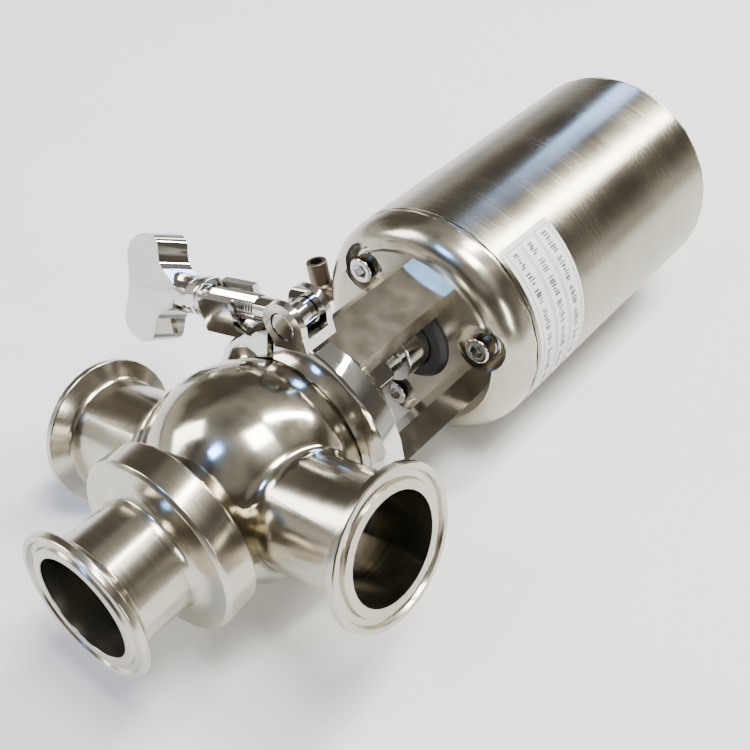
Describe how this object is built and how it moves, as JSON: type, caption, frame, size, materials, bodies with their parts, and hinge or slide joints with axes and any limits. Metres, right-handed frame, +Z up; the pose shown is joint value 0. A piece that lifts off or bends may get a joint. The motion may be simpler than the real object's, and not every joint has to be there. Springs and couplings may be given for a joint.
{
  "type": "pneumatic actuated valve",
  "caption": "Sanitary tee seat valve with clamp ferrule ports, hinged wing-nut clamp, open yoke and spring-return pneumatic actuator.",
  "frame": {"origin": "middle of the footprint, on the surface that the valve lies on", "axes": "+Z up, +Y along the stem from the bottom port towards the actuator; the two side ports run along X, rolled 18 degrees so that the right port points up"},
  "size_m": [0.1516, 0.2974, 0.0949],
  "materials": {
    "stainless_steel": "fine machined and brushed stainless, satin",
    "polished_steel": "polished stainless casting and ground rod",
    "nickel_brass": "dull nickel-plated brass",
    "white_ptfe": "white PTFE",
    "black_rubber": "matt black elastomer",
    "spring_steel": "oiled spring steel",
    "aluminium": "turned aluminium"
  },
  "bodies": {
    "valve_frame": {"air_fitting": "nickel_brass", "body_gasket": "white_ptfe", "bolt_1": "polished_steel", "bolt_2": "polished_steel", "bolt_3": "polished_steel", "bolt_washer_1": "stainless_steel", "bolt_washer_2": "stainless_steel", "bolt_washer_3": "stainless_steel", "bottom_adapter": "stainless_steel", "clamp_half_left": "polished_steel", "clamp_half_right": "polished_steel", "clamp_hinge_pin": "stainless_steel", "cylinder": "stainless_steel", "lower_head": "stainless_steel", "lower_head_seal": "black_rubber", "port_left": "stainless_steel", "port_right": "stainless_steel", "return_spring": "spring_steel", "rod_bushing": "white_ptfe", "rod_seal": "black_rubber", "rod_wiper": "black_rubber", "seat_ring": "stainless_steel", "stem_bushing": "white_ptfe", "stem_lip_seal": "black_rubber", "top_cap": "stainless_steel", "top_cap_seal": "black_rubber", "valve_body": "stainless_steel", "vent_plug": "nickel_brass", "yoke": "stainless_steel"},
    "stem_assembly": {"stem": "polished_steel", "plug_disc": "stainless_steel", "plug_seal": "white_ptfe", "plug_retainer": "stainless_steel", "plug_nut": "stainless_steel", "stem_locknut": "stainless_steel", "piston": "aluminium", "piston_seal": "black_rubber", "piston_guide_ring": "white_ptfe", "piston_nut": "stainless_steel"},
    "swing_bolt": {"clamp_bolt": "polished_steel"},
    "nut_seat": {"clamp_washer": "polished_steel"},
    "clamp_nut": {"wing_nut": "polished_steel"}
  },
  "joints": [
    {"name": "valve_stroke", "type": "slide", "parent": "valve_frame", "child": "stem_assembly", "axis": [0, 1, 0], "range_m": [0, 0.016], "stiffness_N_per_m": 6000, "springref_m": -0.03, "deforming": ["return_spring"]},
    {"name": "bolt_swing", "type": "hinge", "parent": "valve_frame", "child": "swing_bolt", "pos_m": [0.00108, -0.05235, 0.08685], "axis": [0, 1, 0], "range_deg": [0, 100]},
    {"name": "nut_travel", "type": "slide", "parent": "swing_bolt", "child": "nut_seat", "axis": [-0.9301, 0, -0.3672], "range_m": [0, 0.006]},
    {"name": "nut_spin", "type": "hinge", "parent": "nut_seat", "child": "clamp_nut", "pos_m": [0.00108, -0.05235, 0.08685], "axis": [-0.9301, 0, -0.3672], "range_deg": [0, 1728]}
  ],
  "couplings": [
    {"joint": "nut_spin", "follows": "nut_travel", "rad_per_m": 5026.5}
  ]
}
